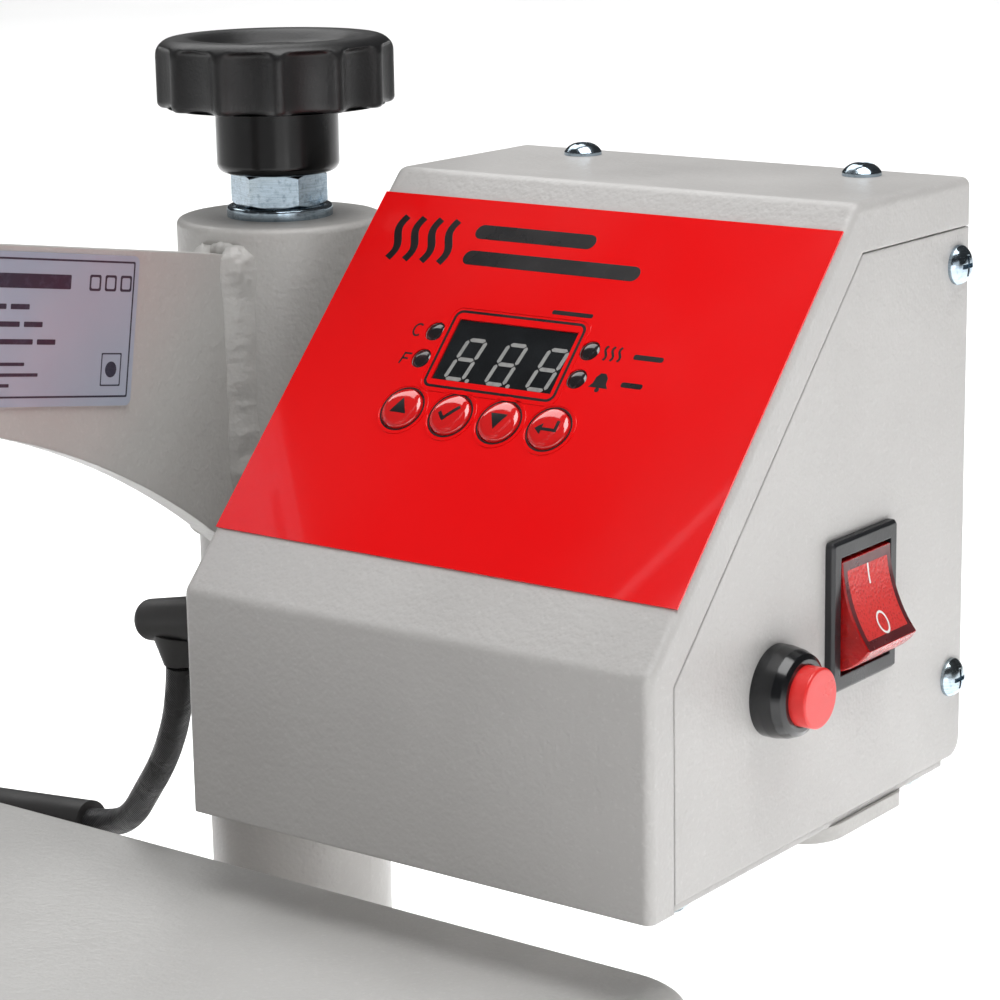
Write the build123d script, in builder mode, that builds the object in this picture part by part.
from build123d import *
import math
import os

# Small swing-away heat press.
# Frame: origin on the floor under the middle of the base, +X to the operator's right,
# +Y to the rear, +Z up. Millimetres. Shown at rest: arm to the front, head raised, lever up.

os.makedirs("parts", exist_ok=True)

# ---------------------------------------------------------------- driving dimensions
base_width = 340
base_length = 360
frame_tube = 30
frame_wall = 2
beam_width = 60
foot_height = 15
plug_head = 2

column_y = 109.2
post_radius = 21.2
post_wall = 3
post_top = 275
sleeve_radius = 23.5
sleeve_bore = 21.3
sleeve_bottom = 236.4
sleeve_top = 307.9
sleeve_cap = 6

head_y = -60
platen_width = 305
platen_depth = 226
platen_corner = 18
platen_bottom = 79
platen_thickness = 8
pad_thickness = 8

plate_bottom = 123
plate_thickness = 14
cover_width = 312
cover_depth = 230
cover_corner = 20
cover_bottom = 128
cover_top = 175
cover_fold = 3
sheet = 1.2

arm_thickness = 6
arm_face = 6
arm_rise = 0.166
tube_radius = 21.2
tube_bore = 18
tube_bottom = 233
tube_top = 323
shaft_radius = 12.5
bush_length = 14
running = 0.05

pivot_z = 382.5
dome_z = 353
cam_lift = 14
cam_gap = 0.3
lever_lean = 15
ear_inner = 15
ear_thickness = 6

box_left = 34.4
box_right = 150.9
box_front = 35.4
box_rear = 154.8
box_bottom = 195
box_top = 321
bend_z = 241.8
slope_top_y = 109.6
flange = 8
top_flange = 10
seam = 0.3
floor_sheet = 1.4
label_thickness = 0.4

screw_radius = 6
nut_flats = 19

# ---------------------------------------------------------------- worked-out places
frame_top = foot_height + frame_tube
bar_y = (base_length - frame_tube) / 2
plate_top = plate_bottom + plate_thickness
box_middle = (box_left + box_right) / 2
box_width = box_right - box_left
slope_run = slope_top_y - box_front
slope_rise = box_top - bend_z
slope_length = math.hypot(slope_run, slope_rise)
slope_plane = Plane(
    origin=(box_right, box_front, bend_z),
    x_dir=(1, 0, 0),
    z_dir=(0, -slope_rise / slope_length, slope_run / slope_length),
)
slope_outward = Axis((0, 0, 0), slope_plane.z_dir)
lever_plane = Plane(
    origin=(0, head_y, pivot_z),
    x_dir=(1, 0, 0),
    z_dir=(0, math.sin(math.radians(lever_lean)), math.cos(math.radians(lever_lean))),
)


def side_outline(inset, top_inset, rear, bottom):
    """Side view of the control box, (y, z), moved in from its front, slope and top."""
    along = inset * slope_length / slope_rise
    front_y = box_front + inset
    front_z = bend_z + (front_y - box_front - along) * slope_rise / slope_run
    top_z = box_top - top_inset
    top_y = slope_top_y - top_inset * slope_run / slope_rise + along
    return [(front_y, bottom), (front_y, front_z), (top_y, top_z), (rear, top_z), (rear, bottom)]


# ---------------------------------------------------------------- base frame
# Two cross bars joined by a wide beam, with the stand that carries the lower platen.
stand_size = 60
stand_wall = 3
carrier_size = (130, 100)
carrier_thickness = 6
foot_x = 150
gusset_reach = 26
gusset_height = 40
platen_bolt_spacing = (100, 70)

with BuildPart() as base_frame:
    with BuildSketch(Plane.YZ.offset(-base_width / 2 + plug_head)):
        with Locations((-bar_y, foot_height + frame_tube / 2), (bar_y, foot_height + frame_tube / 2)):
            RectangleRounded(frame_tube, frame_tube, 2.5)
    extrude(amount=base_width - 2 * plug_head)
    with BuildSketch(Plane.XZ.offset(bar_y)):
        with Locations((0, foot_height + frame_tube / 2)):
            Rectangle(beam_width, frame_tube)
    extrude(amount=-2 * bar_y)
    with BuildSketch(Plane.XY.offset(frame_top)):
        with Locations((0, head_y)):
            Rectangle(stand_size, stand_size)
    extrude(amount=platen_bottom - carrier_thickness - frame_top)
    with BuildSketch(Plane.XY.offset(platen_bottom - carrier_thickness)):
        with Locations((0, head_y)):
            RectangleRounded(*carrier_size, 8)
    extrude(amount=carrier_thickness)
    # gussets before and behind the column
    for side in (-1, 1):
        near = column_y + side * (post_radius - 4)
        with BuildSketch(Plane.YZ.offset(-2.5)):
            with BuildLine():
                Polyline(
                    (near, frame_top),
                    (near + side * gusset_reach, frame_top),
                    (near + side * gusset_reach, frame_top + 4),
                    (near + side * 4, frame_top + gusset_height),
                    (near, frame_top + gusset_height),
                    close=True,
                )
            make_face()
        extrude(amount=5)
    with BuildSketch(Plane.XY.offset(frame_top)):
        with Locations((0, column_y)):
            Circle(post_radius)
    extrude(amount=gusset_height + 5, mode=Mode.SUBTRACT)
    # tube hollows
    with BuildSketch(Plane.YZ.offset(-base_width / 2)):
        with Locations((-bar_y, foot_height + frame_tube / 2), (bar_y, foot_height + frame_tube / 2)):
            Rectangle(frame_tube - 2 * frame_wall, frame_tube - 2 * frame_wall)
    extrude(amount=base_width, mode=Mode.SUBTRACT)
    with BuildSketch(Plane.XZ.offset(bar_y - frame_tube / 2 + frame_wall)):
        with Locations((0, foot_height + frame_tube / 2)):
            Rectangle(beam_width - 2 * frame_wall, frame_tube - 2 * frame_wall)
    extrude(amount=-(2 * bar_y - frame_tube + 2 * frame_wall), mode=Mode.SUBTRACT)
    with BuildSketch(Plane.XY.offset(frame_top)):
        with Locations((0, head_y)):
            Rectangle(stand_size - 2 * stand_wall, stand_size - 2 * stand_wall)
    extrude(amount=platen_bottom - carrier_thickness - frame_top, mode=Mode.SUBTRACT)
    # drain hole in the beam's roof, bolt holes in the carrier, holes for the feet
    with Locations((0, head_y, frame_top)):
        Cylinder(radius=8, height=3 * frame_wall, mode=Mode.SUBTRACT)
    with Locations((0, head_y, platen_bottom - carrier_thickness / 2)):
        with GridLocations(*platen_bolt_spacing, 2, 2):
            Cylinder(radius=4.2, height=2 * carrier_thickness, mode=Mode.SUBTRACT)
    with Locations((0, 0, foot_height)):
        with GridLocations(2 * foot_x, 2 * bar_y, 2, 2):
            Cylinder(radius=4.25, height=3 * frame_wall, mode=Mode.SUBTRACT)
base_frame.part.label = "base_frame"
export_step(base_frame.part, "parts/base_frame.step")

# Plastic plugs in the four open ends of the cross bars.
plug_fit = frame_tube - 2 * frame_wall - 0.4
with BuildPart() as tube_plugs:
    for side in (-1, 1):
        for y in (-bar_y, bar_y):
            with BuildSketch(Plane.YZ.offset(side * (base_width / 2 - plug_head))):
                with Locations((y, foot_height + frame_tube / 2)):
                    RectangleRounded(frame_tube, frame_tube, 2.5)
            extrude(amount=side * plug_head)
            with BuildSketch(Plane.YZ.offset(side * (base_width / 2 - plug_head))):
                with Locations((y, foot_height + frame_tube / 2)):
                    Rectangle(plug_fit, plug_fit)
            extrude(amount=-side * 12)
    outer = tube_plugs.faces().filter_by(Axis.X).group_by(Axis.X)
    chamfer(outer[0].edges() + outer[-1].edges(), length=0.8)
tube_plugs.part.label = "tube_plugs"
export_step(tube_plugs.part, "parts/tube_plugs.step")

# Rubber feet, each with a stub pushed into the frame.
with BuildPart() as rubber_feet:
    for x in (-foot_x, foot_x):
        for y in (-bar_y, bar_y):
            with BuildSketch(Plane(origin=(x, y, 0), x_dir=(1, 0, 0), z_dir=(0, -1, 0))):
                with BuildLine():
                    Polyline(
                        (7, 0), (13.5, 0), (14.5, 1), (13, foot_height), (4.15, foot_height),
                        (4.15, foot_height + 5), (0, foot_height + 5), (0, 5), (6, 5), close=True,
                    )
                make_face()
            revolve(axis=Axis((x, y, 0), (0, 0, 1)))
rubber_feet.part.label = "rubber_feet"
export_step(rubber_feet.part, "parts/rubber_feet.step")

# ---------------------------------------------------------------- column
with BuildPart() as post:
    with BuildSketch(Plane.XY.offset(frame_top)):
        with Locations((0, column_y)):
            Circle(post_radius)
            Circle(post_radius - post_wall, mode=Mode.SUBTRACT)
    extrude(amount=post_top - frame_top)
    chamfer(post.edges().group_by(Axis.Z)[-1], length=0.8)
post.part.label = "post"
export_step(post.part, "parts/post.step")

plug_height = 25
with BuildPart() as post_plug:
    with BuildSketch(Plane.XY.offset(post_top - 1 - plug_height)):
        with Locations((0, column_y)):
            Circle(post_radius - post_wall)
            Circle(screw_radius + running, mode=Mode.SUBTRACT)
    extrude(amount=plug_height)
post_plug.part.label = "post_plug"
export_step(post_plug.part, "parts/post_plug.step")

# Spring that lifts the arm as the knob is unscrewed.
lift_wire = 1.6
lift_coil = 13.5
lift_turns = 4
lift_bottom = post_top - 1 + lift_wire + 0.1
lift_height = sleeve_top - sleeve_cap - lift_wire - 0.1 - lift_bottom
with BuildPart() as height_spring:
    with BuildLine():
        lift_helix = Helix(lift_height / lift_turns, lift_height, lift_coil, (0, column_y, lift_bottom))
    with BuildSketch(Plane(origin=lift_helix @ 0, z_dir=lift_helix % 0)):
        Circle(lift_wire)
    sweep(is_frenet=True)
height_spring.part.label = "height_spring"
export_step(height_spring.part, "parts/height_spring.step")

# ---------------------------------------------------------------- lower platen
with BuildPart() as lower_platen:
    with BuildSketch(Plane.XY.offset(platen_bottom)):
        with Locations((0, head_y)):
            RectangleRounded(platen_width, platen_depth, platen_corner)
    extrude(amount=platen_thickness)
    chamfer(lower_platen.edges().group_by(Axis.Z)[0], length=1)
    with Locations((0, head_y, platen_bottom)):
        with GridLocations(*platen_bolt_spacing, 2, 2):
            Cylinder(radius=4.05, height=2 * (platen_thickness - 1.5), mode=Mode.SUBTRACT)
lower_platen.part.label = "lower_platen"
export_step(lower_platen.part, "parts/lower_platen.step")

platen_top = platen_bottom + platen_thickness
with BuildPart() as silicone_pad:
    with BuildSketch(Plane.XY.offset(platen_top)):
        with Locations((0, head_y)):
            RectangleRounded(platen_width - 2, platen_depth - 2, platen_corner - 1)
    extrude(amount=pad_thickness)
    fillet(silicone_pad.edges().group_by(Axis.Z)[-1], radius=1.2)
silicone_pad.part.label = "silicone_pad"
export_step(silicone_pad.part, "parts/silicone_pad.step")

bolt_seat = platen_bottom - carrier_thickness
with BuildPart() as platen_bolts:
    with Locations((0, head_y)):
        with GridLocations(*platen_bolt_spacing, 2, 2) as bolt_grid:
            bolt_spots = bolt_grid.locations
    for spot in bolt_spots:
        x = spot.position.X
        y = spot.position.Y
        with BuildSketch(Plane.XY.offset(bolt_seat - 5.3)):
            with Locations((x, y)):
                RegularPolygon(radius=6.5, side_count=6, major_radius=False)
        extrude(amount=5.3)
        with BuildSketch(Plane.XY.offset(bolt_seat)):
            with Locations((x, y)):
                Circle(4)
        extrude(amount=carrier_thickness + platen_thickness - 2)
platen_bolts.part.label = "platen_bolts"
export_step(platen_bolts.part, "parts/platen_bolts.step")

# ---------------------------------------------------------------- pressure screw and knob
washer_thickness = 2.5
nut_height = 7.5
washer_top = sleeve_top + washer_thickness
nut_top = washer_top + nut_height
boss_radius = 13.85
knob_bottom = 332.8
knob_top = 348.2
knob_radius = 26.8
lobe_count = 12
scallop_radius = 12
scallop_centre = 36.3

with BuildPart() as thrust_washer:
    with BuildSketch(Plane.XY.offset(sleeve_top)):
        with Locations((0, column_y)):
            Circle(12)
            Circle(screw_radius + 0.5, mode=Mode.SUBTRACT)
    extrude(amount=washer_thickness)
    fillet(thrust_washer.edges().group_by(Axis.Z)[-1].sort_by(SortBy.RADIUS)[-1], radius=0.8)
thrust_washer.part.label = "thrust_washer"
export_step(thrust_washer.part, "parts/thrust_washer.step")

with BuildPart() as lock_nut:
    with BuildSketch(Plane.XY.offset(washer_top)):
        with Locations((0, column_y)):
            RegularPolygon(radius=nut_flats / 2, side_count=6, major_radius=False, rotation=-26)
    extrude(amount=nut_height)
    with BuildSketch(Plane(origin=(0, column_y, 0), x_dir=(1, 0, 0), z_dir=(0, -1, 0))):
        with BuildLine():
            Polyline(
                (0, washer_top), (9.6, washer_top), (11.2, washer_top + 0.9),
                (11.2, nut_top - 0.9), (9.6, nut_top), (0, nut_top), close=True,
            )
        make_face()
    revolve(axis=Axis((0, column_y, 0), (0, 0, 1)), mode=Mode.INTERSECT)
    with Locations((0, column_y, (washer_top + nut_top) / 2)):
        Cylinder(radius=screw_radius, height=nut_height, mode=Mode.SUBTRACT)
lock_nut.part.label = "lock_nut"
export_step(lock_nut.part, "parts/lock_nut.step")

screw_bottom = 238
screw_top = 329
with BuildPart() as adjust_screw:
    with BuildSketch(Plane.XY.offset(screw_bottom)):
        with Locations((0, column_y)):
            Circle(screw_radius)
    extrude(amount=screw_top - screw_bottom)
    chamfer(adjust_screw.edges().group_by(Axis.Z)[0], length=1)
adjust_screw.part.label = "adjust_screw"
export_step(adjust_screw.part, "parts/adjust_screw.step")

with BuildPart() as knob_boss:
    with BuildSketch(Plane.XY.offset(nut_top)):
        with Locations((0, column_y)):
            Circle(boss_radius)
    extrude(amount=knob_bottom - nut_top)
    fillet(knob_boss.edges().group_by(Axis.Z)[0], radius=2.2)
    with Locations((0, column_y, nut_top)):
        Cylinder(
            radius=screw_radius, height=screw_top - nut_top,
            align=(Align.CENTER, Align.CENTER, Align.MIN), mode=Mode.SUBTRACT,
        )
knob_boss.part.label = "knob_boss"
export_step(knob_boss.part, "parts/knob_boss.step")

with BuildPart() as knob:
    with BuildSketch(Plane.XY.offset(knob_bottom)):
        with Locations((0, column_y)):
            Circle(knob_radius)
    extrude(amount=knob_top - knob_bottom)
    # finger scallops, rounded off below the rim
    with BuildSketch(Plane.XY.offset(knob_bottom)):
        with Locations((0, column_y)):
            with PolarLocations(scallop_centre, lobe_count, start_angle=27.7):
                Circle(scallop_radius)
    extrude(amount=knob_top - knob_bottom - 4.3, mode=Mode.SUBTRACT)
    fillet(knob.edges().filter_by(GeomType.CIRCLE).group_by(Axis.Z)[-1], radius=4.1)
    # dished top with a raised centre cap
    with BuildSketch(Plane(origin=(0, column_y, 0), x_dir=(1, 0, 0), z_dir=(0, -1, 0))):
        with BuildLine():
            Polyline(
                (0, knob_top - 2.0), (7.4, knob_top - 2.0), (8.4, knob_top - 2.8), (8.6, knob_top - 4.0),
                (9.6, knob_top - 4.0), (10.2, knob_top - 3.4), (15.5, knob_top - 3.0),
                (18.6, knob_top), (18.6, knob_top + 2), (0, knob_top + 2), close=True,
            )
        make_face()
    revolve(axis=Axis((0, column_y, 0), (0, 0, 1)), mode=Mode.SUBTRACT)
    # moulded hollow underneath
    with BuildSketch(Plane.XY.offset(knob_bottom)):
        with Locations((0, column_y)):
            Circle(20.5)
            Circle(boss_radius + 1, mode=Mode.SUBTRACT)
    extrude(amount=8, mode=Mode.SUBTRACT)
knob.part.label = "knob"
export_step(knob.part, "parts/knob.step")

# ---------------------------------------------------------------- swing arm
with BuildPart() as arm_sleeve:
    with BuildSketch(Plane.XY.offset(sleeve_bottom)):
        with Locations((0, column_y)):
            Circle(sleeve_radius)
    extrude(amount=sleeve_top - sleeve_bottom)
    fillet(arm_sleeve.edges().group_by(Axis.Z)[-1], radius=1.5)
    with BuildSketch(Plane.XY.offset(sleeve_bottom)):
        with Locations((0, column_y)):
            Circle(sleeve_bore)
    extrude(amount=sleeve_top - sleeve_cap - sleeve_bottom, mode=Mode.SUBTRACT)
    with Locations((0, column_y, sleeve_top)):
        Cylinder(radius=screw_radius + 0.6, height=3 * sleeve_cap, mode=Mode.SUBTRACT)
arm_sleeve.part.label = "arm_sleeve"
export_step(arm_sleeve.part, "parts/arm_sleeve.step")

# Plate arm a little right of the middle: a straight rising top edge and one long arch below.
arch_radius = 205.9
arch_y = -49.6
arch_z = 78.5
arm_top_rear = 302.3


def arch_height(y):
    """Height of the arm's lower edge at a place along the arm."""
    return arch_z + math.sqrt(arch_radius**2 - (y - arch_y) ** 2)


def arm_top(y):
    """Height of the arm's top edge at a place along the arm."""
    return arm_top_rear + arm_rise * (column_y - sleeve_radius - y)


arch_rear_y = arch_y + math.sqrt(arch_radius**2 - (sleeve_bottom - arch_z) ** 2)
with BuildPart() as arm_plate:
    with BuildSketch(Plane.YZ.offset(arm_face - arm_thickness)):
        with BuildLine():
            Polyline(
                (head_y, arch_height(head_y)), (head_y, arm_top(head_y)),
                (column_y, arm_top(column_y)), (column_y, sleeve_bottom), (arch_rear_y, sleeve_bottom),
            )
            ThreePointArc(
                (arch_rear_y, sleeve_bottom), (28, arch_height(28)), (head_y, arch_height(head_y))
            )
        make_face()
    extrude(amount=arm_thickness)
    with BuildSketch(Plane.XY.offset(tube_bottom)):
        with Locations((0, column_y)):
            Circle(sleeve_radius)
        with Locations((0, head_y)):
            Circle(tube_radius)
    extrude(amount=2 * (tube_top - tube_bottom), mode=Mode.SUBTRACT)
    chamfer(arm_plate.edges().filter_by(Axis.X, reverse=True).group_by(Axis.Z)[-1], length=0.6)
arm_plate.part.label = "arm_plate"
export_step(arm_plate.part, "parts/arm_plate.step")

with BuildPart() as guide_tube:
    with BuildSketch(Plane.XY.offset(tube_bottom)):
        with Locations((0, head_y)):
            Circle(tube_radius)
            Circle(tube_bore, mode=Mode.SUBTRACT)
    extrude(amount=tube_top - tube_bottom)
    chamfer(guide_tube.edges().group_by(Axis.Z)[0], length=0.8)
guide_tube.part.label = "guide_tube"
export_step(guide_tube.part, "parts/guide_tube.step")

with BuildPart() as shaft_bushes:
    for bottom in (tube_bottom, tube_top - bush_length):
        with BuildSketch(Plane.XY.offset(bottom)):
            with Locations((0, head_y)):
                Circle(tube_bore)
                Circle(shaft_radius + running, mode=Mode.SUBTRACT)
        extrude(amount=bush_length)
shaft_bushes.part.label = "shaft_bushes"
export_step(shaft_bushes.part, "parts/shaft_bushes.step")

# Forked bracket on the guide tube that holds the lever's pivot.
fork_base = 6
ear_outer = ear_inner + ear_thickness
with BuildPart() as lever_bracket:
    with BuildSketch(Plane.XY.offset(tube_top)):
        with Locations((0, head_y)):
            Rectangle(2 * ear_outer, 42)
            Circle(13.5, mode=Mode.SUBTRACT)
    extrude(amount=fork_base)
    for side in (-1, 1):
        with BuildSketch(Plane.YZ.offset(side * ear_inner)):
            with BuildLine():
                Polyline(
                    (head_y + 15, pivot_z), (head_y + 21, tube_top + fork_base),
                    (head_y - 21, tube_top + fork_base), (head_y - 15, pivot_z),
                )
                ThreePointArc(
                    (head_y - 15, pivot_z), (head_y, pivot_z + 15), (head_y + 15, pivot_z)
                )
            make_face()
        extrude(amount=side * ear_thickness)
    with Locations(Location((0, head_y, pivot_z), (0, 90, 0))):
        Cylinder(radius=screw_radius + running, height=4 * ear_outer, mode=Mode.SUBTRACT)
lever_bracket.part.label = "lever_bracket"
export_step(lever_bracket.part, "parts/lever_bracket.step")

# Shouldered bolt and nut through the fork.
bolt_head = 7.5
with BuildPart() as pivot_bolt:
    with BuildSketch(Plane.YZ.offset(ear_outer)):
        with Locations((head_y, pivot_z)):
            RegularPolygon(radius=nut_flats / 2, side_count=6, major_radius=False)
    extrude(amount=bolt_head)
    with BuildSketch(Plane.YZ.offset(-ear_outer - 12)):
        with Locations((head_y, pivot_z)):
            Circle(screw_radius)
    extrude(amount=2 * ear_outer + 12)
    with BuildSketch(Plane.YZ.offset(-ear_outer)):
        with Locations((head_y, pivot_z)):
            RegularPolygon(radius=nut_flats / 2, side_count=6, major_radius=False)
            Circle(screw_radius + running, mode=Mode.SUBTRACT)
    extrude(amount=-10)
pivot_bolt.part.label = "pivot_bolt"
export_step(pivot_bolt.part, "parts/pivot_bolt.step")

# Rating plate stuck to the arm's right face, parallel to the arm's top edge.
rating_length = 82
rating_height = 31.8
rating_corner = (56.4, 306)
rise_angle = math.degrees(math.atan(arm_rise))
rating_plane = Plane(
    origin=(arm_face, rating_corner[0], rating_corner[1]),
    x_dir=(0, -math.cos(math.radians(rise_angle)), math.sin(math.radians(rise_angle))),
    z_dir=(1, 0, 0),
)
with BuildPart() as rating_plate:
    with BuildSketch(rating_plane):
        with Locations((rating_length / 2, rating_height / 2)):
            RectangleRounded(rating_length, rating_height, 1.5)
    extrude(amount=0.5)
rating_plate.part.label = "rating_plate"
export_step(rating_plate.part, "parts/rating_plate.step")

# Flat bar bent to an L: welded to the sleeve, running under the control box.
bar_thickness = 3.2
bar_width = 36
bar_leg_top = 280
bar_centre = 113.5
bar_top = box_bottom - floor_sheet
with BuildPart() as box_bracket:
    with BuildSketch(Plane.XZ.offset(-bar_centre - bar_width / 2)):
        with BuildLine():
            Polyline(
                (sleeve_radius, bar_leg_top), (sleeve_radius, bar_top - bar_thickness),
                (box_right, bar_top - bar_thickness), (box_right, bar_top),
                (sleeve_radius + bar_thickness, bar_top), (sleeve_radius + bar_thickness, bar_leg_top),
                close=True,
            )
        make_face()
    extrude(amount=bar_width)
    lower_bend = box_bracket.edges().filter_by(Axis.Y).group_by(Axis.Z)[0].sort_by(Axis.X)[0]
    fillet(lower_bend, radius=5)
    bar_corners = box_bracket.edges().filter_by(Axis.Z).group_by(Axis.X)[-1].sort_by(Axis.Y)
    fillet(bar_corners[0], radius=10)
    fillet(bar_corners[-1], radius=3)
    with Locations((60, bar_centre, bar_top), (125, bar_centre, bar_top)):
        Cylinder(radius=2.1, height=4 * bar_thickness, mode=Mode.SUBTRACT)
box_bracket.part.label = "box_bracket"
export_step(box_bracket.part, "parts/box_bracket.step")

# ---------------------------------------------------------------- control box
side_screw_y = 150.3
side_screw_z = (303.2, 213.5)
top_screw_x = (58, 129.9)
top_screw_y = 146.5
floor_screw_x = (41.4, 145.1)
floor_screw_y = (50.4, 140.4)
hole_radius = 2.1

display_x = (-80.3, -49.9)
display_s = (56.8, 71.7)
key_s = 48.8
key_x = (-83.6, -71.1, -58.7, -46.3)
key_radius = 4.7
led_spots = [(-84.9, 68), (-85.1, 61.2), (-45.4, 67.8), (-45.4, 61)]
led_radius = 2.25
board_depth = 13
stud_spots = [(-98, 80), (-98, 34), (-33, 80), (-33, 34)]


def display_middle():
    """Middle of the display window on the slope."""
    return (sum(display_x) / 2, sum(display_s) / 2)


skirt_bottom = box_bottom - floor_sheet
# Cover bent over the front, the slope and the top, with a narrow flange down each side.
with BuildPart() as front_cover:
    with BuildSketch(Plane.YZ.offset(box_left)):
        with BuildLine():
            Polyline(*side_outline(0, 0, box_rear, skirt_bottom), close=True)
        make_face()
    extrude(amount=box_width)
    bends = front_cover.edges().filter_by(Axis.X).filter_by_position(Axis.Y, box_front, slope_top_y)
    fillet(bends.filter_by_position(Axis.Z, bend_z - 1, box_top), radius=3)
    side_faces = front_cover.faces().filter_by(Axis.X)
    folds = side_faces.edges().filter_by(lambda edge: edge.center().Y < box_rear - 1)
    fillet(folds.filter_by(lambda edge: edge.center().Z > skirt_bottom + 1), radius=1.9)
    with BuildSketch(Plane.YZ.offset(box_left + sheet)):
        with BuildLine():
            Polyline(*side_outline(sheet, sheet, box_rear + 1, skirt_bottom + sheet), close=True)
        make_face()
        # open underneath, behind a short lip along the front
        with Locations((box_rear, skirt_bottom)):
            Rectangle(2 * (box_rear - box_front - flange), 4)
    extrude(amount=box_width - 2 * sheet, mode=Mode.SUBTRACT)
    with BuildSketch(Plane.YZ.offset(box_left - 1)):
        with BuildLine():
            Polyline(*side_outline(flange, top_flange, box_rear + 1, skirt_bottom - 1), close=True)
        make_face()
    extrude(amount=box_width + 2, mode=Mode.SUBTRACT)
    # window for the display, holes for keys and lamps
    with BuildSketch(slope_plane.offset(-5)):
        with Locations(display_middle()):
            Rectangle(display_x[1] - display_x[0] + 0.6, display_s[1] - display_s[0] + 0.6)
        with Locations(*[(x, key_s) for x in key_x]):
            Circle(key_radius + 0.3)
        with Locations(*led_spots):
            Circle(led_radius + 0.15)
    extrude(amount=10, mode=Mode.SUBTRACT)
    # welded studs for the controller board
    with BuildSketch(slope_plane.offset(-board_depth)):
        with Locations(*stud_spots):
            Circle(3)
    extrude(amount=board_depth - sheet)
    with Locations(*[(x, top_screw_y, box_top) for x in top_screw_x]):
        Cylinder(radius=hole_radius, height=4 * sheet, mode=Mode.SUBTRACT)
front_cover.part.label = "front_cover"
export_step(front_cover.part, "parts/front_cover.step")


skin_bottom = box_bottom + 0.35


def side_panel(outer_x, inward):
    """Side panel with a joggled lip behind the cover's flange and a foot flange inside."""
    with BuildPart() as panel:
        with BuildSketch(Plane.YZ.offset(outer_x)):
            with BuildLine():
                Polyline(*side_outline(flange + seam, top_flange + seam, box_rear, skin_bottom), close=True)
            make_face()
        extrude(amount=inward * sheet)
        lip_x = outer_x + inward * sheet
        with BuildSketch(Plane.YZ.offset(lip_x)):
            with BuildLine():
                Polyline(*side_outline(3, 3, box_rear - 16, box_bottom + 2), close=True)
            make_face()
            with BuildLine():
                Polyline(*side_outline(11, 13, box_rear, box_bottom), close=True)
            make_face(mode=Mode.SUBTRACT)
        extrude(amount=inward * sheet)
        with BuildSketch(Plane.XY.offset(box_bottom)):
            with Locations((outer_x + inward * (sheet + 5), (box_front + box_rear) / 2)):
                Rectangle(10, box_rear - box_front - 2 * flange - 20)
        extrude(amount=sheet)
        fillet(panel.edges().filter_by(Axis.X).group_by(Axis.Y)[-1].group_by(Axis.Z)[0], radius=4)
        with Locations(*[Location((outer_x, side_screw_y, z), (0, 90, 0)) for z in side_screw_z]):
            Cylinder(radius=hole_radius, height=6 * sheet, mode=Mode.SUBTRACT)
        screw_x = floor_screw_x[1] if inward < 0 else floor_screw_x[0]
        with Locations(*[(screw_x, y, box_bottom) for y in floor_screw_y]):
            Cylinder(radius=hole_radius, height=6 * sheet, mode=Mode.SUBTRACT)
    return panel.part


rocker_y = 110.6
rocker_z = 238.8
button_y = 78.9
button_z = 229
right_blank = side_panel(box_right, -1)
with BuildPart() as side_panel_right:
    add(right_blank)
    with BuildSketch(Plane.YZ.offset(box_right + 1)):
        with Locations((rocker_y, rocker_z)):
            Rectangle(22.4, 28.4)
        with Locations((button_y, button_z)):
            Circle(8.1)
    extrude(amount=-6 * sheet, mode=Mode.SUBTRACT)
side_panel_right.part.label = "side_panel_right"
export_step(side_panel_right.part, "parts/side_panel_right.step")

collar_y = 52.2
collar_z = 231.4
collar_radius = 5.2
left_blank = side_panel(box_left, 1)
with BuildPart() as side_panel_left:
    add(left_blank)
    with BuildSketch(Plane.YZ.offset(box_left - 1)):
        with Locations((collar_y, collar_z)):
            Circle(collar_radius + 0.1)
    extrude(amount=6 * sheet, mode=Mode.SUBTRACT)
side_panel_left.part.label = "side_panel_left"
export_step(side_panel_left.part, "parts/side_panel_left.step")

# Back panel: a tray with flanges inside the top and the sides, air slots and the mains gland hole.
gland_x = 60
gland_z = 215
slot_count = 7
with BuildPart() as back_panel:
    with BuildSketch(Plane.XZ.offset(-box_rear + 0.2)):
        with Locations((box_middle, (box_bottom + box_top) / 2)):
            Rectangle(box_width - 2 * sheet, box_top - box_bottom - 2 * sheet - 0.2)
    extrude(amount=12)
    with BuildSketch(Plane.XZ.offset(-box_rear + 0.2 + sheet)):
        with Locations((box_middle, (box_bottom + box_top) / 2)):
            Rectangle(box_width - 4 * sheet, box_top - box_bottom - 4 * sheet - 0.2)
    extrude(amount=12, mode=Mode.SUBTRACT)
    with BuildSketch(Plane.XZ.offset(-box_rear - 1)):
        with Locations((box_middle + 10, 275)):
            with GridLocations(1, 8, 1, slot_count):
                SlotOverall(56, 3)
        with Locations((gland_x, gland_z)):
            Circle(8.2)
    extrude(amount=6 * sheet, mode=Mode.SUBTRACT)
    with Locations(*[Location((box_middle, side_screw_y, z), (0, 90, 0)) for z in side_screw_z]):
        Cylinder(radius=hole_radius, height=box_width, mode=Mode.SUBTRACT)
    with Locations(*[(x, top_screw_y, box_top) for x in top_screw_x]):
        Cylinder(radius=hole_radius, height=6 * sheet, mode=Mode.SUBTRACT)
back_panel.part.label = "back_panel"
export_step(back_panel.part, "parts/back_panel.step")

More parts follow.
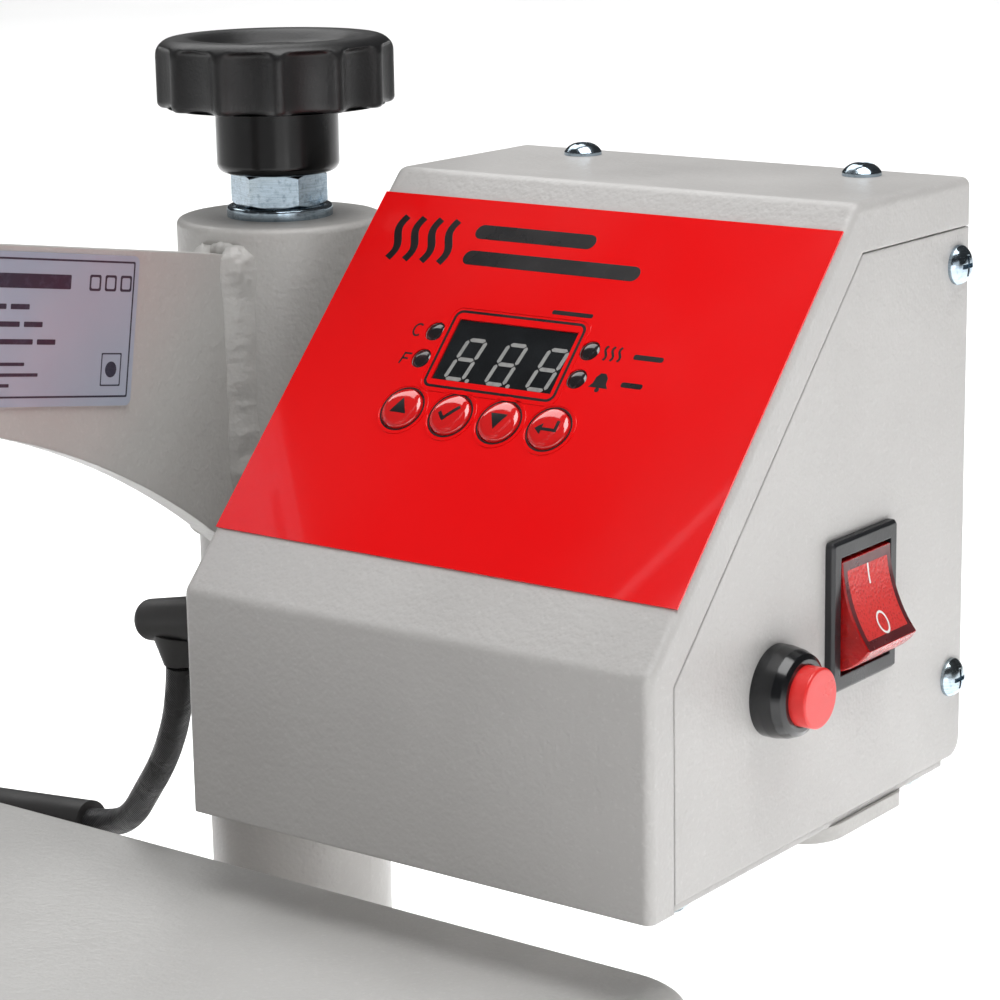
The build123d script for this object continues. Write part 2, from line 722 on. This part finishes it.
with BuildPart() as bottom_plate:
    with BuildSketch(Plane.XY.offset(box_bottom - floor_sheet)):
        with Locations((box_middle, (box_front + flange + seam + box_rear - 4.7) / 2)):
            RectangleRounded(box_width - 1.6, box_rear - 4.7 - box_front - flange - seam, 2)
    extrude(amount=floor_sheet)
    with Locations(*[(x, y, box_bottom) for x in floor_screw_x for y in floor_screw_y]):
        Cylinder(radius=hole_radius, height=6 * sheet, mode=Mode.SUBTRACT)
    with Locations((60, bar_centre, box_bottom), (125, bar_centre, box_bottom)):
        Cylinder(radius=hole_radius, height=6 * sheet, mode=Mode.SUBTRACT)
bottom_plate.part.label = "bottom_plate"
export_step(bottom_plate.part, "parts/bottom_plate.step")


def pan_screw(length):
    """Pan-head screw with a cross recess, seated at z = 0 with its head upwards."""
    with BuildPart() as screw:
        with BuildSketch(Plane.XZ):
            with BuildLine():
                Polyline((0, 2.6), (0, -length), (1.6, -length), (2, -length + 1), (2, 0), (4.2, 0))
                Line((4.2, 0), (4.2, 0.7))
                ThreePointArc((4.2, 0.7), (2.9, 2.1), (0, 2.6))
            make_face()
        revolve(axis=Axis.Z)
        with BuildSketch(Plane.XY.offset(3)):
            Rectangle(4.4, 0.9)
            Rectangle(0.9, 4.4)
        extrude(amount=-2.2, mode=Mode.SUBTRACT)
    return screw.part


short_screw = pan_screw(6)
case_screw_places = [Location((box_right, side_screw_y, z), (0, 90, 0)) for z in side_screw_z]
case_screw_places += [Location((box_left, side_screw_y, z), (0, -90, 0)) for z in side_screw_z]
case_screw_places += [Location((x, top_screw_y, box_top), (0, 0, 20 * i)) for i, x in enumerate(top_screw_x)]
case_screw_places += [
    Location((x, y, box_bottom - floor_sheet), (180, 0, 0)) for x in floor_screw_x for y in floor_screw_y
]
case_screw_places += [Location((x, bar_centre, bar_top - bar_thickness), (180, 0, 0)) for x in (60, 125)]
with BuildPart() as case_screws:
    with Locations(*case_screw_places):
        add(short_screw)
case_screws.part.label = "case_screws"
export_step(case_screws.part, "parts/case_screws.step")

# ---------------------------------------------------------------- operator panel
label_x = (-115.7, -0.6)
label_s = (15.2, 101.5)
with BuildPart() as label_overlay:
    with BuildSketch(slope_plane):
        with Locations((sum(label_x) / 2, sum(label_s) / 2)):
            Rectangle(label_x[1] - label_x[0], label_s[1] - label_s[0])
        with Locations(display_middle()):
            Rectangle(display_x[1] - display_x[0], display_s[1] - display_s[0], mode=Mode.SUBTRACT)
        with Locations(*[(x, key_s) for x in key_x]):
            Circle(key_radius + 0.15, mode=Mode.SUBTRACT)
        with Locations(*led_spots):
            Circle(led_radius + 0.1, mode=Mode.SUBTRACT)
    extrude(amount=label_thickness)
label_overlay.part.label = "label_overlay"
export_step(label_overlay.part, "parts/label_overlay.step")

with BuildPart() as display_window:
    with BuildSketch(slope_plane.offset(label_thickness - 0.5)):
        with Locations(display_middle()):
            Rectangle(display_x[1] - display_x[0] - 0.1, display_s[1] - display_s[0] - 0.1)
    extrude(amount=0.5)
display_window.part.label = "display_window"
export_step(display_window.part, "parts/display_window.step")

with BuildPart() as display_module:
    with BuildSketch(slope_plane.offset(-0.6)):
        with Locations(display_middle()):
            Rectangle(display_x[1] - display_x[0] - 0.2, display_s[1] - display_s[0] - 0.2)
    extrude(amount=0.6 - board_depth)
display_module.part.label = "display_module"
export_step(display_module.part, "parts/display_module.step")

with BuildPart() as status_leds:
    with BuildSketch(slope_plane.offset(-board_depth)):
        with Locations(*led_spots):
            Circle(led_radius)
    extrude(amount=board_depth + label_thickness)
status_leds.part.label = "status_leds"
export_step(status_leds.part, "parts/status_leds.step")

# Board behind the slope, with a push switch under each key.
key_travel = 0.4
key_stem = 4
board_thickness = 1.6
with BuildPart() as controller_board:
    with BuildSketch(slope_plane.offset(-board_depth)):
        with Locations((-65.5, 57)):
            Rectangle(78, 56)
    extrude(amount=-board_thickness)
    with BuildSketch(slope_plane.offset(-board_depth)):
        with Locations(*[(x, key_s) for x in key_x]):
            Rectangle(6, 6)
    extrude(amount=3.5)
    with BuildSketch(slope_plane.offset(-board_depth)):
        with Locations(*[(x, key_s) for x in key_x]):
            Circle(1.7)
    extrude(amount=board_depth - key_stem - key_travel - 0.1)
    with BuildSketch(slope_plane.offset(-board_depth - board_thickness)):
        with Locations((-88, 60)):
            Rectangle(14, 26)
        with Locations((-62, 66)):
            Rectangle(12, 12)
        with Locations((-40, 60)):
            Rectangle(10, 30)
    extrude(amount=-8)
controller_board.part.label = "controller_board"
export_step(controller_board.part, "parts/controller_board.step")

key_names = ("key_up", "key_set", "key_down", "key_enter")
for name, x in zip(key_names, key_x):
    with BuildPart() as key:
        with BuildSketch(slope_plane.offset(-key_stem)):
            with Locations((x, key_s)):
                Circle(key_radius)
        extrude(amount=key_stem + label_thickness + 1.1)
        fillet(key.edges().sort_by(slope_outward)[-1], radius=0.8)
    key.part.label = name
    export_step(key.part, f"parts/{name}.step")

# ---------------------------------------------------------------- right-hand switches
# Rocker switch: housing with a bezel, and a paddle tilted on two trunnions.
rocker_tilt = 20
rocker_pivot_x = box_right - 1.6
paddle_radius = 11.9
paddle_face = 7.3
paddle_half = 9.6
trunnion_radius = 1.2
with BuildPart() as rocker_housing:
    with BuildSketch(Plane.YZ.offset(box_right)):
        with Locations((rocker_y, rocker_z)):
            RectangleRounded(25.5, 31.4, 1)
    extrude(amount=2)
    chamfer(rocker_housing.faces().sort_by(Axis.X)[-1].edges(), length=0.6)
    with BuildSketch(Plane.YZ.offset(box_right)):
        with Locations((rocker_y, rocker_z)):
            Rectangle(22, 28)
    extrude(amount=-20)
    with BuildSketch(Plane.YZ.offset(box_right + 3)):
        with Locations((rocker_y, rocker_z)):
            Rectangle(19.8, 24.6)
    extrude(amount=-19.5, mode=Mode.SUBTRACT)
    with Locations(Location((rocker_pivot_x, rocker_y, rocker_z), (90, 0, 0))):
        Cylinder(radius=trunnion_radius + running, height=30, mode=Mode.SUBTRACT)
    with BuildSketch(Plane.YZ.offset(box_right - 20)):
        with Locations((rocker_y, rocker_z)):
            with GridLocations(1, 8, 1, 3):
                Rectangle(6.3, 0.8)
    extrude(amount=-8)
rocker_housing.part.label = "rocker_housing"
export_step(rocker_housing.part, "parts/rocker_housing.step")

tilt = math.radians(rocker_tilt)
paddle_plane = Plane(
    origin=(rocker_pivot_x, rocker_y - paddle_half, rocker_z),
    x_dir=(math.cos(tilt), 0, math.sin(tilt)),
    z_dir=(0, -1, 0),
)
face_half = math.sqrt(paddle_radius**2 - paddle_face**2)
with BuildPart() as rocker_paddle:
    with BuildSketch(paddle_plane):
        with BuildLine():
            ThreePointArc((paddle_face, face_half), (paddle_face - 1.5, 0), (paddle_face, -face_half))
            ThreePointArc((paddle_face, -face_half), (-paddle_radius, 0), (paddle_face, face_half))
        make_face()
    extrude(amount=-2 * paddle_half)
    with BuildSketch(paddle_plane.offset(1.05)):
        Circle(trunnion_radius)
    extrude(amount=-2 * (paddle_half + 1.05))
rocker_paddle.part.label = "rocker_paddle"
export_step(rocker_paddle.part, "parts/rocker_paddle.step")

button_axis = Axis((0, button_y, button_z), (1, 0, 0))
cap_radius = 6.1
button_plane = Plane(origin=(box_right, button_y, button_z), x_dir=(1, 0, 0), z_dir=(0, -1, 0))
with BuildPart() as button_collar:
    with BuildSketch(button_plane):
        with BuildLine():
            Polyline(
                (0, 9.3), (2.2, 9.3), (4.6, 8.9), (6.4, 8.2), (7, 7.2), (7, cap_radius + 0.15),
                (-12, cap_radius + 0.15), (-12, 4.6), (-20, 4.6), (-20, 0), (-24, 0), (-24, 8),
                (-sheet - 4, 8), (-sheet - 4, 10), (-sheet, 10), (-sheet, 8), (0, 8), close=True,
            )
        make_face()
    revolve(axis=button_axis)
button_collar.part.label = "button_collar"
export_step(button_collar.part, "parts/button_collar.step")

with BuildPart() as button_cap:
    with BuildSketch(Plane.YZ.offset(box_right - 8)):
        with Locations((button_y, button_z)):
            Circle(cap_radius)
    extrude(amount=18.6)
    fillet(button_cap.edges().group_by(Axis.X)[-1], radius=0.5)
    with BuildSketch(Plane.YZ.offset(box_right - 15)):
        with Locations((button_y, button_z)):
            Circle(4.2)
    extrude(amount=7)
button_cap.part.label = "button_cap"
export_step(button_cap.part, "parts/button_cap.step")

# ---------------------------------------------------------------- inside the control box
with BuildPart() as relay:
    with BuildSketch(Plane.XY.offset(box_bottom)):
        with Locations((92, 82)):
            RectangleRounded(45, 60, 2)
    extrude(amount=4)
    with BuildSketch(Plane.XY.offset(box_bottom + 4)):
        with Locations((92, 82)):
            Rectangle(43, 58)
    extrude(amount=20)
    fillet(relay.edges().group_by(Axis.Z)[-1], radius=1)
relay.part.label = "relay"
export_step(relay.part, "parts/relay.step")

with BuildPart() as terminal_block:
    with BuildSketch(Plane.XY.offset(box_bottom)):
        with Locations((88, 132)):
            Rectangle(60, 16)
    extrude(amount=14)
    with Locations((88, 132, box_bottom + 14)):
        with GridLocations(10, 8, 6, 2):
            Cylinder(radius=2.2, height=6, mode=Mode.SUBTRACT)
terminal_block.part.label = "terminal_block"
export_step(terminal_block.part, "parts/terminal_block.step")

# Gland where the mains lead would enter.
with BuildPart() as mains_gland:
    with BuildSketch(Plane(origin=(gland_x, box_rear - 0.2, gland_z), x_dir=(1, 0, 0), z_dir=(0, 0, 1))):
        with BuildLine():
            Polyline(
                (4.2, 11), (6.6, 11), (8.6, 8.5), (11, 8), (11, 0), (8.1, 0), (8.1, -sheet),
                (11, -sheet), (11, -sheet - 5), (8, -sheet - 5), (8, -10), (4.2, -10), close=True,
            )
        make_face()
    revolve(axis=Axis((gland_x, 0, gland_z), (0, 1, 0)))
mains_gland.part.label = "mains_gland"
export_step(mains_gland.part, "parts/mains_gland.step")

# ---------------------------------------------------------------- heater lead
lead_radius = 3.1
outlet_x = 16.9
lead_start_z = 218.1
lead_route = [
    (outlet_x, collar_y, lead_start_z),
    (15.8, 52.7, 208.5),
    (8.8, 54.9, 195.0),
    (-1.0, 58.0, 183.8),
    (-7.5, 60.6, 176.9),
    (-14.8, 62.3, 172.6),
    (-23.0, 62.6, 171.5),
]


def corner_radii(route):
    """Largest tangent arc at each corner: 0.45 of the shorter run over tan of half the turn."""
    points = [Vector(*point) for point in route]
    radii = []
    for before, corner, after in zip(points, points[1:], points[2:]):
        arriving = corner - before
        leaving = after - corner
        turn = math.radians(arriving.get_angle(leaving))
        shorter = min(arriving.length, leaving.length)
        radii.append(0.45 * shorter / math.tan(turn / 2))
    return radii


lead_radii = corner_radii(lead_route)
print("heater lead radii", [round(radius, 1) for radius in lead_radii])
with BuildPart() as heater_lead:
    with BuildLine() as lead_path:
        FilletPolyline(*lead_route, radius=lead_radii)
    with BuildSketch(Plane(origin=lead_path.line @ 0, z_dir=lead_path.line % 0)):
        Circle(lead_radius)
    sweep(path=lead_path.line)
lead_length = lead_path.wires()[0].length
lead_ideal = math.pi * lead_radius**2 * lead_length
print("heater lead length", round(lead_length, 1), "volume ratio", round(heater_lead.part.volume / lead_ideal, 4))
heater_lead.part.label = "heater_lead"
export_step(heater_lead.part, "parts/heater_lead.step")

# Moulded elbow on the box's left side: its barrel sags a little, and the lead leaves it straight down.
barrel_start = Vector(box_left - 1, collar_y, collar_z)
barrel_end = Vector(6.8, collar_y, 226.9)
barrel_along = (barrel_end - barrel_start).normalized()
with BuildPart() as lead_collar:
    with BuildSketch(Plane(origin=barrel_start, x_dir=(0, 1, 0), z_dir=barrel_along)):
        Circle(5.4)
    with BuildSketch(Plane(origin=barrel_end, x_dir=(0, 1, 0), z_dir=barrel_along)):
        Circle(4.5)
    loft()
    fillet(lead_collar.edges().sort_by(Axis.X)[0], radius=2.6)
    # flange outside the panel, neck through it and a ring behind it
    with BuildSketch(Plane.YZ.offset(box_left - 1.6)):
        with Locations((collar_y, collar_z)):
            Circle(7.6)
    extrude(amount=1.6)
    with BuildSketch(Plane.YZ.offset(box_left)):
        with Locations((collar_y, collar_z)):
            Circle(collar_radius)
    extrude(amount=8)
    with BuildSketch(Plane.YZ.offset(box_left + sheet)):
        with Locations((collar_y, collar_z)):
            Circle(collar_radius + 0.5)
    extrude(amount=4)
    with BuildSketch(Plane.XY.offset(lead_start_z + 0.5)):
        with Locations((outlet_x, collar_y)):
            Circle(3.5)
    with BuildSketch(Plane.XY.offset(225.2)):
        with Locations((outlet_x, collar_y)):
            Ellipse(7.2, 4.3)
    loft()
lead_collar.part.label = "lead_collar"
export_step(lead_collar.part, "parts/lead_collar.step")

# Moulded elbow boot on the cover's rear wall, lying along it.
boot_mouth = Vector(*lead_route[-1])
boot_along = (Vector(*lead_route[-1]) - Vector(*lead_route[-2])).normalized()
boot_length = 48
boot_elbow = boot_mouth + boot_along * boot_length
cover_rear = head_y + cover_depth / 2
with BuildPart() as lead_boot:
    with BuildSketch(Plane(origin=boot_mouth + boot_along * 0.1, z_dir=boot_along)):
        Circle(4.8)
    with BuildSketch(Plane(origin=boot_elbow, z_dir=boot_along)):
        Circle(6)
    loft()
    with Locations(boot_elbow):
        Sphere(radius=6.5)
    with BuildSketch(Plane(origin=(boot_elbow.X, cover_rear, boot_elbow.Z), z_dir=(0, 1, 0))):
        Circle(6.5)
    extrude(amount=boot_elbow.Y - cover_rear)
    with BuildSketch(Plane(origin=(boot_elbow.X, cover_rear, boot_elbow.Z), z_dir=(0, 1, 0))):
        Circle(7)
    extrude(amount=2)
    with BuildSketch(Plane(origin=(boot_elbow.X, cover_rear, boot_elbow.Z), z_dir=(0, -1, 0))):
        Circle(5.5)
    extrude(amount=5)
lead_boot.part.label = "lead_boot"
export_step(lead_boot.part, "parts/lead_boot.step")

# ---------------------------------------------------------------- heated head
flange_radius = 38
flange_thickness = 8
bolt_circle = 29
bolt_count = 4
shoulder_bottom = 300
shoulder_top = 308.7
head_bolts = [
    (bolt_circle * math.cos(math.radians(45 + 90 * i)), head_y + bolt_circle * math.sin(math.radians(45 + 90 * i)))
    for i in range(bolt_count)
]

# Shaft with a rounded top for the cam, a spring shoulder and a round flange.
with BuildPart() as press_shaft:
    with BuildSketch(Plane.YZ.offset(-shaft_radius)):
        with Locations((head_y, (cover_top + dome_z) / 2)):
            Rectangle(2 * shaft_radius, dome_z - cover_top)
        with Locations((head_y, dome_z)):
            Circle(shaft_radius)
    extrude(amount=2 * shaft_radius)
    with BuildSketch(Plane.XY.offset(cover_top)):
        with Locations((0, head_y)):
            Circle(shaft_radius)
    extrude(amount=dome_z + shaft_radius - cover_top, mode=Mode.INTERSECT)
    with BuildSketch(Plane.XY.offset(shoulder_bottom)):
        with Locations((0, head_y)):
            Circle(tube_bore - 0.4)
    extrude(amount=shoulder_top - shoulder_bottom)
    with BuildSketch(Plane.XY.offset(cover_top)):
        with Locations((0, head_y)):
            Circle(flange_radius)
    extrude(amount=flange_thickness)
    with Locations(*[(x, y, cover_top) for x, y in head_bolts]):
        Cylinder(radius=3.3, height=4 * flange_thickness, mode=Mode.SUBTRACT)
press_shaft.part.label = "press_shaft"
export_step(press_shaft.part, "parts/press_shaft.step")

# Spring inside the guide tube that raises the head.
return_wire = 1.75
return_coil = 15.2
return_turns = 6
return_bottom = tube_bottom + bush_length + return_wire + 0.1
return_height = shoulder_bottom - return_wire - 0.1 - return_bottom
with BuildPart() as return_spring:
    with BuildLine():
        return_helix = Helix(return_height / return_turns, return_height, return_coil, (0, head_y, return_bottom))
    with BuildSketch(Plane(origin=return_helix @ 0, z_dir=return_helix % 0)):
        Circle(return_wire)
    sweep(is_frenet=True)
return_spring.part.label = "return_spring"
export_step(return_spring.part, "parts/return_spring.step")

with BuildPart() as flange_bolts:
    for x, y in head_bolts:
        with BuildSketch(Plane.XY.offset(cover_top + flange_thickness)):
            with Locations((x, y)):
                RegularPolygon(radius=5, side_count=6, major_radius=False)
        extrude(amount=4)
        with BuildSketch(Plane.XY.offset(cover_top + flange_thickness)):
            with Locations((x, y)):
                Circle(3)
        extrude(amount=-34)
flange_bolts.part.label = "flange_bolts"
export_step(flange_bolts.part, "parts/flange_bolts.step")

# Pressed cover, open below, over the heating plate.
cover_screw_y = (head_y - 70, head_y + 70)
cover_screw_z = 132.5
with BuildPart() as head_cover:
    with BuildSketch(Plane.XY.offset(cover_bottom)):
        with Locations((0, head_y)):
            RectangleRounded(cover_width, cover_depth, cover_corner)
    extrude(amount=cover_top - cover_bottom)
    fillet(head_cover.edges().group_by(Axis.Z)[-1], radius=cover_fold)
    offset(amount=-sheet, openings=head_cover.faces().sort_by(Axis.Z)[0])
    with Locations(*[(x, y, cover_top) for x, y in head_bolts]):
        Cylinder(radius=3.3, height=4 * sheet, mode=Mode.SUBTRACT)
    with Locations(Location((boot_elbow.X, cover_rear, boot_elbow.Z), (90, 0, 0))):
        Cylinder(radius=5.6, height=6 * sheet, mode=Mode.SUBTRACT)
    with Locations(*[Location((0, y, cover_screw_z), (0, 90, 0)) for y in cover_screw_y]):
        Cylinder(radius=hole_radius, height=2 * cover_width, mode=Mode.SUBTRACT)
head_cover.part.label = "head_cover"
export_step(head_cover.part, "parts/head_cover.step")

cover_screw_places = [Location((cover_width / 2, y, cover_screw_z), (0, 90, 0)) for y in cover_screw_y]
cover_screw_places += [Location((-cover_width / 2, y, cover_screw_z), (0, -90, 0)) for y in cover_screw_y]
with BuildPart() as cover_screws:
    with Locations(*cover_screw_places):
        add(short_screw)
cover_screws.part.label = "cover_screws"
export_step(cover_screws.part, "parts/cover_screws.step")

# Cast heating plate with four bosses and a groove for the tubular element.
element_radius = 3.5
loop_x = 128
loop_y = 92
terminal_x = 20
element_route = [
    (-terminal_x, head_y + 60, plate_top), (-terminal_x, head_y + loop_y, plate_top),
    (-loop_x, head_y + loop_y, plate_top), (-loop_x, head_y - loop_y, plate_top),
    (loop_x, head_y - loop_y, plate_top), (loop_x, head_y + loop_y, plate_top),
    (terminal_x, head_y + loop_y, plate_top), (terminal_x, head_y + 60, plate_top),
]
with BuildPart() as heating_plate:
    with BuildSketch(Plane.XY.offset(plate_bottom)):
        with Locations((0, head_y)):
            RectangleRounded(platen_width, platen_depth, platen_corner)
    extrude(amount=plate_thickness)
    chamfer(heating_plate.edges().group_by(Axis.Z)[0], length=1)
    with BuildSketch(Plane.XY.offset(plate_top)):
        with Locations(*head_bolts):
            Circle(9)
    extrude(amount=cover_top - sheet - plate_top)
    with Locations(*[(x, y, cover_top) for x, y in head_bolts]):
        Cylinder(
            radius=3.05, height=36, align=(Align.CENTER, Align.CENTER, Align.MAX), mode=Mode.SUBTRACT
        )
    with Locations(*[Location((0, y, cover_screw_z), (0, 90, 0)) for y in cover_screw_y]):
        Cylinder(radius=hole_radius, height=2 * cover_width, mode=Mode.SUBTRACT)
    with BuildLine() as groove_path:
        FilletPolyline(*element_route, radius=14)
    with BuildSketch(Plane(origin=groove_path.line @ 0, z_dir=groove_path.line % 0)):
        Circle(element_radius + 0.2)
    sweep(path=groove_path.line, mode=Mode.SUBTRACT)
heating_plate.part.label = "heating_plate"
export_step(heating_plate.part, "parts/heating_plate.step")

with BuildPart() as heating_element:
    with BuildLine() as element_path:
        FilletPolyline(*element_route, radius=14)
    with BuildSketch(Plane(origin=element_path.line @ 0, z_dir=element_path.line % 0)):
        Circle(element_radius)
    sweep(path=element_path.line)
heating_element.part.label = "heating_element"
export_step(heating_element.part, "parts/heating_element.step")

cutout_place = (75, head_y)
probe_place = (-75, head_y)
with BuildPart() as thermal_cutout:
    with BuildSketch(Plane.XY.offset(plate_top)):
        with Locations(cutout_place):
            Circle(8)
    extrude(amount=6)
    with BuildSketch(Plane.XY.offset(plate_top + 6)):
        with Locations((cutout_place[0] - 4, head_y), (cutout_place[0] + 4, head_y)):
            Rectangle(0.8, 6.3)
    extrude(amount=8)
thermal_cutout.part.label = "thermal_cutout"
export_step(thermal_cutout.part, "parts/thermal_cutout.step")

with BuildPart() as temperature_probe:
    with BuildSketch(Plane.XY.offset(plate_top)):
        with Locations(probe_place):
            RegularPolygon(radius=5, side_count=6, major_radius=False)
    extrude(amount=4)
    with BuildSketch(Plane.XY.offset(plate_top + 4)):
        with Locations(probe_place):
            Circle(2.4)
    extrude(amount=14)
temperature_probe.part.label = "temperature_probe"
export_step(temperature_probe.part, "parts/temperature_probe.step")

wool_bottom = plate_top + element_radius + 0.5
with BuildPart() as insulation:
    with BuildSketch(Plane.XY.offset(wool_bottom)):
        with Locations((0, head_y)):
            RectangleRounded(platen_width - 10, platen_depth - 10, platen_corner)
        with Locations(*head_bolts):
            Circle(9.5, mode=Mode.SUBTRACT)
        with Locations(cutout_place, probe_place):
            Circle(11, mode=Mode.SUBTRACT)
    extrude(amount=26)
insulation.part.label = "insulation"
export_step(insulation.part, "parts/insulation.step")

# ---------------------------------------------------------------- lever
# Cam whose lift grows evenly with the lever's angle; the shaft's rounded top follows it.
pitch_start = pivot_z - dome_z
follower = shaft_radius + cam_gap
lobe_half_width = 7
hub_half_width = 14.7
hub_radius = 15
profile_first = -20
profile_last = 100
profile_step = 10


def cam_point(degrees):
    """A point of the cam's edge, (y, z), at this angle of the lever from rest."""
    angle = math.radians(degrees)
    pitch = pitch_start + cam_lift * angle
    norm = math.hypot(pitch, cam_lift)
    outward = pitch - follower * pitch / norm
    sideways = follower * cam_lift / norm
    y = -math.sin(angle) * outward - math.cos(angle) * sideways
    z = -math.cos(angle) * outward + math.sin(angle) * sideways
    return (head_y + y, pivot_z + z)


cam_points = [cam_point(a) for a in range(profile_first, profile_last + 1, profile_step)]
socket_radius = 13
socket_end = 44
bar_start = 22
with BuildPart() as lever_cam:
    with BuildSketch(Plane.YZ.offset(-lobe_half_width)):
        with BuildLine():
            Spline(*cam_points)
            Polyline(cam_points[-1], (head_y, pivot_z + 12), (head_y + 12, pivot_z), cam_points[0])
        make_face()
    extrude(amount=2 * lobe_half_width)
    with BuildSketch(Plane.YZ.offset(-hub_half_width)):
        with Locations((head_y, pivot_z)):
            Circle(hub_radius)
    extrude(amount=2 * hub_half_width)
    with BuildSketch(lever_plane.offset(6)):
        Circle(socket_radius)
    extrude(amount=socket_end - 6)
    fillet(lever_cam.edges().filter_by(GeomType.CIRCLE).sort_by(Axis.Z)[-1], radius=1.5)
    with BuildSketch(lever_plane.offset(bar_start)):
        Circle(8.05)
    extrude(amount=socket_end, mode=Mode.SUBTRACT)
    with Locations(Location((0, head_y, pivot_z), (0, 90, 0))):
        Cylinder(radius=screw_radius + running, height=4 * hub_half_width, mode=Mode.SUBTRACT)
lever_cam.part.label = "lever_cam"
export_step(lever_cam.part, "parts/lever_cam.step")

bar_end = 258
with BuildPart() as handle_bar:
    with BuildSketch(lever_plane.offset(bar_start)):
        Circle(8)
    extrude(amount=bar_end - bar_start)
handle_bar.part.label = "handle_bar"
export_step(handle_bar.part, "parts/handle_bar.step")

grip_start = 148
grip_end = 264
with BuildPart() as handle_grip:
    with BuildSketch(Plane(origin=lever_plane.origin, x_dir=(1, 0, 0), z_dir=-lever_plane.y_dir)):
        with BuildLine():
            Polyline(
                (8.05, grip_start), (13, grip_start), (14.5, grip_start + 4), (13.2, grip_start + 30),
                (14.6, grip_start + 70), (13.4, grip_end - 8), (9, grip_end), (0, grip_end),
                (0, bar_end), (8.05, bar_end), close=True,
            )
        make_face()
    revolve(axis=Axis(lever_plane.origin, lever_plane.z_dir))
handle_grip.part.label = "handle_grip"
export_step(handle_grip.part, "parts/handle_grip.step")
